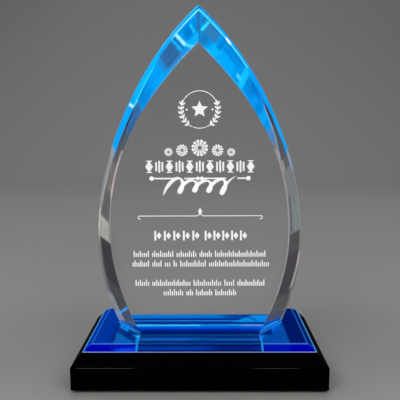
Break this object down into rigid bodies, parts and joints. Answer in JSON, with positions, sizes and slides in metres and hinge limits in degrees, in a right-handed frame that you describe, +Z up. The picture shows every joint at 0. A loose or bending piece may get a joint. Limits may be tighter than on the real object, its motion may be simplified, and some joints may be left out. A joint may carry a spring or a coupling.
{
  "type": "crystal award",
  "caption": "Clear bevelled flame-shaped award slab on a mirrored transparent blue plate and a bevelled black base.",
  "frame": {"origin": "on the table, under the middle of the base", "axes": "+Z up through the flame's tip, -Y towards the front of the award, +X to the right as seen from the front"},
  "size_m": [0.1396, 0.0762, 0.2105],
  "materials": {
    "clear_acrylic": "polished",
    "clear_cement": "polished",
    "blue_acrylic": "polished",
    "silver_film": "polished",
    "black_tape": "matte",
    "black_acrylic": "polished",
    "black_rubber": "matte"
  },
  "bodies": {
    "root": {"flame_body": "clear_acrylic", "flame_cement": "clear_cement", "blue_plate": "blue_acrylic", "mirror_backing": "silver_film", "mounting_tape": "black_tape", "black_base": "black_acrylic", "foot_front_left": "black_rubber", "foot_front_right": "black_rubber", "foot_back_left": "black_rubber", "foot_back_right": "black_rubber"}
  },
  "joints": []
}
